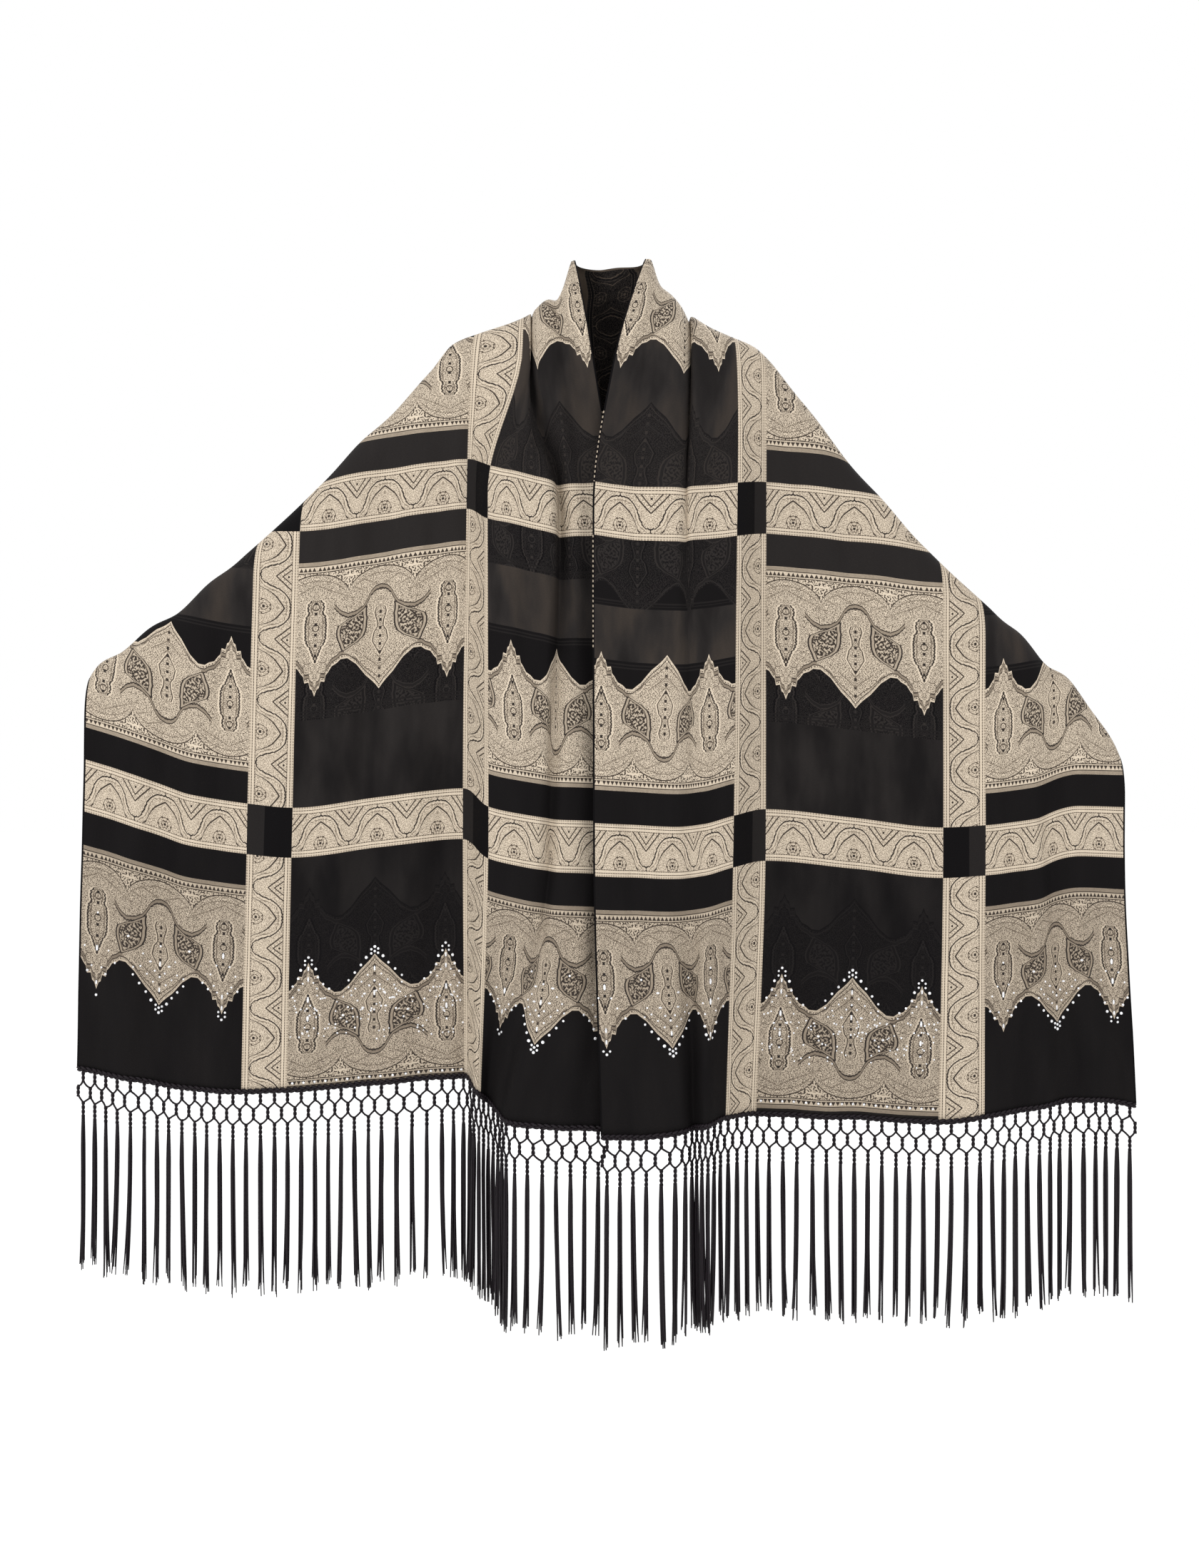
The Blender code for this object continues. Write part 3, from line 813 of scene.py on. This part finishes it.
cloth.data.materials.append(jacquard("jacquard_face", 1))
cloth.data.materials.append(jacquard("jacquard_reverse", 0))
wall = cloth.modifiers.new("wall", "SOLIDIFY")
wall.thickness = CLOTH_WALL
wall.offset = 0.0
wall.material_offset = 1
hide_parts("front_left", "front_right", "back")
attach(cloth, BODY)


# The hem cords: a braid of three black silk cords worked over each hem, which the net hangs from.
# The silk is piece-dyed black with a faint purple cast.
BRAID_LENGTH = 0.024
BRAID_RADIUS = 0.0018
BRAID_SWING = 0.0022
BRAID_DEPTH = 0.0014
BRAID_MIDDLE = 0.0022
HEM_SAMPLES = 600


def silk_finish():
    look = Look("fringe_silk", Specular_IOR_Level=0.22)
    place = look.node("ShaderNodeTexCoord").outputs["Object"]
    strands = look.node(
        "ShaderNodeTexNoise", (), {"Vector": place, "Scale": 900.0, "Detail": 2.0}
    ).outputs[0]
    ramp = look.node(
        "ShaderNodeValToRGB",
        {"stops": ((0.3, shade(9, 6, 9)), (0.7, shade(30, 21, 28)))},
        {"Fac": strands},
    )
    look.feed(look.surface.inputs["Base Color"], ramp.outputs["Color"])
    look.feed(look.surface.inputs["Roughness"], 0.42 + 0.2 * Number(look, strands))
    bump = look.node(
        "ShaderNodeBump", (), {"Strength": 0.3, "Distance": 0.0004, "Height": strands}
    )
    look.feed(look.surface.inputs["Normal"], bump.outputs[0])
    return look.material


SILK = silk_finish()


class Hem:
    """The hem line of one panel: places and outward directions by distance across the cloth."""

    def __init__(self, side):
        self.across = np.linspace(0, CLOTH_WIDTH, HEM_SAMPLES)
        self.line = front_place(side, self.across, np.zeros(HEM_SAMPLES))
        run = np.gradient(self.line, axis=0)
        out = np.cross(run, (0, 0, 1.0))
        out /= np.linalg.norm(out, axis=1)[:, None]
        self.out = out * (-1 if out[:, 1].mean() > 0 else 1)

    def at(self, across, down=0.0, out=0.0):
        """Places below the hem; across, down and out may be arrays."""
        across = np.clip(np.asarray(across, float), 0, CLOTH_WIDTH)
        place = np.stack([np.interp(across, self.across, self.line[:, k]) for k in range(3)], -1)
        side = np.stack([np.interp(across, self.across, self.out[:, k]) for k in range(3)], -1)
        place = place + side * np.asarray(out)[..., None]
        place[..., 2] -= down
        return place


class Strands:
    """Many thin round strands gathered into one mesh."""

    def __init__(self):
        self.points = []
        self.faces = []
        self.count = 0

    def add(self, path, radii, sides=5):
        path = np.asarray(path, float)
        radii = np.broadcast_to(np.asarray(radii, float), (len(path),))[:, None, None]
        run = np.gradient(path, axis=0)
        run /= np.linalg.norm(run, axis=1)[:, None] + 1e-12
        one = np.cross(run, (0.31, 0.95, 0.05))
        one /= np.linalg.norm(one, axis=1)[:, None] + 1e-12
        other = np.cross(run, one)
        turns = np.arange(sides) * 2 * math.pi / sides
        cosines = np.cos(turns)[None, :, None]
        sines = np.sin(turns)[None, :, None]
        rings = path[:, None] + radii * (cosines * one[:, None] + sines * other[:, None])
        self.points.append(rings.reshape(-1, 3))
        start = self.count
        self.count += rings.shape[0] * sides
        for ring in range(len(path) - 1):
            low = start + ring * sides
            for k in range(sides):
                n = (k + 1) % sides
                self.faces.append((low + k, low + n, low + sides + n, low + sides + k))
        self.faces.append(tuple(start + k for k in reversed(range(sides))))
        self.faces.append(tuple(self.count - sides + k for k in range(sides)))

    def made(self, name):
        made = add_mesh(name, np.concatenate(self.points), self.faces)
        made.data.shade_smooth()
        made.data.materials.append(SILK)
        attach(made, BODY)
        return made


def braid(side, hem):
    strands = Strands()
    steps = int(CLOTH_WIDTH / BRAID_LENGTH * 14)
    across = np.linspace(0.001, CLOTH_WIDTH - 0.001, steps)
    for k in range(3):
        phase = 2 * math.pi * (across / BRAID_LENGTH + k / 3)
        down = BRAID_MIDDLE + BRAID_SWING * np.sin(phase)
        out = BRAID_DEPTH * np.sin(2 * phase)
        strands.add(hem.at(across, down, out), BRAID_RADIUS, 6)
    return strands.made(f"hem_braid_{side}")


HEMS = {side: Hem(side) for side in ("left", "right")}
braids = [braid(side, HEMS[side]) for side in HEMS]


# The fringe: hanks of black silk at each end. Each is looped through the hem cord, twisted, split in
# two and twisted again with its neighbour's half twice over, which makes a net of two rows of
# meshes, and then hangs free as a slack bundle of fine cords with cut ends.
STRANDS = 46
NET_START = 0.004
NET_CORD = 0.0145
NET_SLANT = 0.0048
NET_TWIST = 0.021
TAIL = 0.188
TWIST_LENGTH = 0.0112
PLY_RADIUS = 0.00138
PLY_SWING = 0.00115
SLANT_RADIUS = 0.00128
TAIL_CORDS = 8
TAIL_CORD_RADIUS = 0.00125


def twisted(strands, hem, across, start, end, uneven):
    """Two plies wound round each other straight down."""
    steps = max(6, int((end - start) / 0.0013))
    down = np.linspace(start, end, steps)
    turn = uneven.uniform(0, 6.28)
    for half in (0, math.pi):
        phase = 2 * math.pi * down / TWIST_LENGTH + turn + half
        strands.add(
            hem.at(across + PLY_SWING * np.cos(phase), down, PLY_SWING * np.sin(phase)), PLY_RADIUS
        )


def slant(strands, hem, start_across, end_across, start, end, uneven):
    """One ply slanting from a crossing to the neighbour below."""
    share = np.linspace(0, 1, 6)
    across = start_across + (end_across - start_across) * share
    sag = 0.0012 * np.sin(math.pi * share) * uneven.uniform(-0.6, 1)
    out = 0.0006 * np.sin(math.pi * share) * uneven.choice((-1, 1))
    strands.add(hem.at(across, start + (end - start) * share + sag, out), SLANT_RADIUS)


def tail(strands, hem, across, start, uneven):
    """The free bundle: fine cords that hang together and part a little at their ends."""
    length = TAIL + uneven.uniform(-0.007, 0.007)
    sway = uneven.gauss(0, 0.0020), uneven.gauss(0, 0.0022)
    top = hem.at(across, start)
    share = np.linspace(0, 1, 11)
    for k in range(TAIL_CORDS):
        turn = 2 * math.pi * k / TAIL_CORDS + uneven.uniform(-0.4, 0.4)
        middle = 0.35 if k == 0 else 1.0
        full = 1.1 + 0.95 * np.sin(math.pi * np.clip(share * 2.2, 0, 0.5)) + 0.35 * share ** 3
        spread = 0.001 * middle * full * uneven.uniform(0.85, 1.15)
        twist = turn + uneven.uniform(0.3, 1.4) * share
        end = length + uneven.uniform(-0.012, 0.006)
        stray = uneven.gauss(0, 0.0012) * share ** 3
        path = np.repeat(top[None], len(share), 0)
        path[:, 0] += sway[0] * share ** 2 + spread * np.cos(twist) + stray
        path[:, 1] += sway[1] * share ** 2 + spread * np.sin(twist)
        path[:, 2] -= end * share
        strands.add(path, TAIL_CORD_RADIUS * (1 - 0.45 * share ** 5), 4)


def knotted_net(side, hem):
    strands = Strands()
    uneven = random.Random(STRANDS if side == "left" else STRANDS + 1)
    pitch = CLOTH_WIDTH / STRANDS
    upper = [pitch * (k + 0.5) + uneven.uniform(-0.0007, 0.0007) for k in range(STRANDS)]
    between = [0.002 + (CLOTH_WIDTH - 0.004) * k / STRANDS for k in range(STRANDS + 1)]
    first_end = NET_START + NET_CORD
    second = first_end + NET_SLANT
    second_end = second + NET_CORD
    third = second_end + NET_SLANT
    third_end = third + NET_TWIST
    for across in upper:
        twisted(strands, hem, across, NET_START, first_end, uneven)
    for above, below, start, end in (
        (upper, between, first_end, second),
        (between, upper, second_end, third),
    ):
        for one in above:
            for other in below:
                if abs(one - other) < 0.75 * pitch:
                    way = 0.0008 if other > one else -0.0008
                    from_up, to_up = start - 0.0006, end + 0.0008
                    slant(strands, hem, one + way, other - way, from_up, to_up, uneven)
    for across in between:
        twisted(strands, hem, across, second, second_end, uneven)
    for across in upper:
        twisted(strands, hem, across, third, third_end, uneven)
        tail(strands, hem, across, third_end - 0.002, uneven)
    return strands.made(f"knotted_fringe_{side}")


for side, hem in HEMS.items():
    piece = knotted_net(side, hem)
    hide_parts(f"fringe_{side}")


# The stones: small round silvered glass stones pressed on around the points of the lowest ornament
# bands, with a few pointed ovals in the figures and a row along the middle column's lower border.
STONE_SIDES = 8
STONE_SIZE = 1.2
# Places in a motif, in millimetres. Columns: distance from the motif's middle, distance from the
# band's middle, half width, half height. Each stands on both sides of the middle.
BROAD_TIP_STONES = (
    (0, 250, 1.7, 1.7), (0, 244, 1.5, 1.5), (4.5, 247, 1.4, 1.4), (4.5, 241.5, 1.4, 1.4),
    (11, 237, 1.8, 1.8), (18, 228, 1.5, 1.5), (26, 219, 1.5, 1.5), (34, 210, 1.3, 1.3),
    (0, 222, 1.1, 2.8), (0, 206, 1.3, 1.3), (9, 214, 1.1, 1.1), (17, 206, 1.1, 1.1),
    (7, 200, 1.2, 1.2), (25, 198, 1.1, 1.1), (0, 190, 1.2, 3.0), (13, 190, 1.8, 1.2),
    (22, 182, 1.1, 1.1), (15, 172, 1.8, 1.2), (30, 190, 1.1, 1.1), (0, 168, 1.2, 1.2),
    (34, 201, 1.1, 1.1), (41, 165, 1.6, 1.3), (36, 156, 1.2, 1.2),
)
NARROW_TIP_STONES = (
    (0, 246, 1.5, 1.5), (4.5, 242, 1.3, 1.3), (4.5, 236.5, 1.3, 1.3), (10, 230, 1.7, 1.7),
    (13, 219, 1.5, 1.5), (20, 209, 1.4, 1.4), (28, 202, 1.4, 1.4), (0, 231, 1.1, 2.6),
    (0, 217, 1.1, 2.8), (7, 212, 1.1, 1.1), (12, 204, 1.1, 1.1), (0, 190, 1.4, 3.4),
    (0, 165, 1.4, 3.2), (9, 178, 1.1, 1.1), (17, 190, 1.1, 1.1), (0, 148, 1.2, 1.2),
)
# Single stones scattered over the ground of the middle column's figures.
SCATTER = 110
BORDER_STONE_PITCH = 14.4


def stone_places():
    """Side, distance across and up, and both half sizes of every stone."""
    chance = random.Random(11)
    places = []
    for side in ("left", "right"):
        for column in range(3):
            in_middle = column == 1
            base = HEM_TO_BAND[side] / MM
            start = column * (COLUMN + STRIP)
            centre = BROAD_MOTIF["middle" if column else "side"]

            def put(t, d, wide, high):
                across = start + centre + t
                up = d - (BAND_SPACING / MM - base) if in_middle else base - d
                if start + 2 < across < start + COLUMN - 2 and up > 3:
                    places.append((side, across, up, wide, high))

            for middle, stones in (
                (0, BROAD_TIP_STONES),
                (88, NARROW_TIP_STONES),
                (-88, NARROW_TIP_STONES),
            ):
                for t, d, wide, high in stones:
                    if not in_middle and (d < 195 or middle) and chance.random() < 0.35:
                        continue
                    for sign in (1, -1) if t else (1,):
                        put(middle + sign * t, d, wide, high)
            if in_middle:
                for k in range(int(COLUMN / BORDER_STONE_PITCH) + 1):
                    put(6 - centre + BORDER_STONE_PITCH * k, 81, 1.4, 1.4)
                for _ in range(SCATTER):
                    size = chance.uniform(0.8, 1.2)
                    put(chance.uniform(-114, 112), chance.uniform(128, 196), size, size)
    return places


def stone_finish():
    look = Look("silvered_glass", Metallic=0.3, Roughness=0.2)
    place = look.node("ShaderNodeTexCoord").outputs["Object"]
    glint = look.node("ShaderNodeTexNoise", (), {"Vector": place, "Scale": 420.0}).outputs[0]
    ramp = look.node(
        "ShaderNodeValToRGB",
        {"stops": ((0.35, shade(214, 214, 216)), (0.6, shade(252, 252, 254)))},
        {"Fac": glint},
    )
    look.feed(look.surface.inputs["Base Color"], ramp.outputs["Color"])
    return look.material


def set_stones():
    points = []
    faces = []
    turns = np.arange(STONE_SIDES) * 2 * math.pi / STONE_SIDES
    every = stone_places()
    for side in ("left", "right"):
        rows = np.array([row[1:] for row in every if row[0] == side]) * MM
        across, up, wide, high = rows.T
        wide, high = wide * STONE_SIZE, high * STONE_SIZE
        place = front_place(side, across, up)
        along = front_place(side, across, up + 0.001) - place
        sideways = front_place(side, across + 0.001, up) - place
        along /= np.linalg.norm(along, axis=1)[:, None]
        normal = np.cross(sideways, along)
        normal /= np.linalg.norm(normal, axis=1)[:, None]
        normal *= np.where(normal[:, 1:2] > 0, -1, 1)
        sideways = np.cross(along, normal)
        for k in range(len(place)):
            start = len(points)
            for share, lift in ((1.0, 0.0), (0.88, 0.35), (0.55, 0.55)):
                for turn in turns:
                    points.append(
                        place[k]
                        + sideways[k] * (math.cos(turn) * share * wide[k])
                        + along[k] * (math.sin(turn) * share * high[k])
                        + normal[k] * (CLOTH_WALL / 2 + lift * wide[k])
                    )
            n = STONE_SIDES
            for ring in range(2):
                low = start + ring * n
                for j in range(n):
                    m = (j + 1) % n
                    faces.append((low + j, low + m, low + n + m, low + n + j))
            faces.append(tuple(start + 2 * n + j for j in range(n)))
            faces.append(tuple(start + j for j in reversed(range(n))))
    made = add_mesh("stones", points, faces)
    bpy.ops.object.select_all(action="DESELECT")
    bpy.context.view_layer.objects.active = made
    made.select_set(True)
    bpy.ops.object.mode_set(mode="EDIT")
    bpy.ops.mesh.select_all(action="SELECT")
    bpy.ops.mesh.normals_make_consistent(inside=False)
    bpy.ops.object.mode_set(mode="OBJECT")
    made.data.materials.append(stone_finish())
    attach(made, BODY)
    return made


stones = set_stones()


# The setting: a plain pale floor well below the fringe, a pale surround, and soft studio light from
# a large front panel with a weaker one at each side.
FLOOR = -1.45


def studio():
    bpy.ops.mesh.primitive_plane_add(size=60, location=(0, 0, FLOOR))
    floor = bpy.context.object
    floor.name = "floor"
    look = Look("floor_paint", Roughness=1.0, Specular_IOR_Level=0.0)
    look.surface.inputs["Base Color"].default_value = (0.80, 0.80, 0.80, 1)
    look.surface.inputs["Emission Color"].default_value = (1, 1, 1, 1)
    look.surface.inputs["Emission Strength"].default_value = 0.25
    floor.data.materials.append(look.material)
    world = bpy.data.worlds.new("pale_surround")
    world.use_nodes = True
    world.node_tree.nodes["Background"].inputs["Color"].default_value = (1, 1, 1, 1)
    world.node_tree.nodes["Background"].inputs["Strength"].default_value = 1.0
    bpy.context.scene.world = world
    for name, place, size, power, aim in (
        ("key", (-1.9, -2.5, 1.3), 1.2, 34, (0, 0, -0.5)),
        ("fill", (2.3, -2.4, 0.3), 1.6, 6, (0, 0, -0.5)),
        ("rim", (0.6, 2.4, 1.4), 1.6, 22, (0, 0, -0.3)),
    ):
        lamp = bpy.data.lights.new(name, "AREA")
        lamp.energy = power
        lamp.size = size
        holder = bpy.data.objects.new(name, lamp)
        holder.location = place
        way = np.array(place) - np.array(aim)
        holder.rotation_euler = (
            math.atan2(math.hypot(way[0], way[1]), way[2]),
            0,
            math.atan2(way[0], -way[1]),
        )
        bpy.context.collection.objects.link(holder)


def camera():
    """Level with the middle of the wrap, square to its front."""
    distance = 2.30
    width_at_neck = 1.529
    lens = bpy.data.cameras.new("camera")
    lens.sensor_fit = "HORIZONTAL"
    lens.sensor_width = 36
    lens.lens = 36 * distance / width_at_neck
    holder = bpy.data.objects.new("camera", lens)
    holder.location = (-0.0135, -distance, -0.580)
    holder.rotation_euler = (math.pi / 2, 0, 0)
    bpy.context.collection.objects.link(holder)
    bpy.context.scene.camera = holder


studio()
camera()
bpy.context.scene.view_settings.view_transform = "Standard"
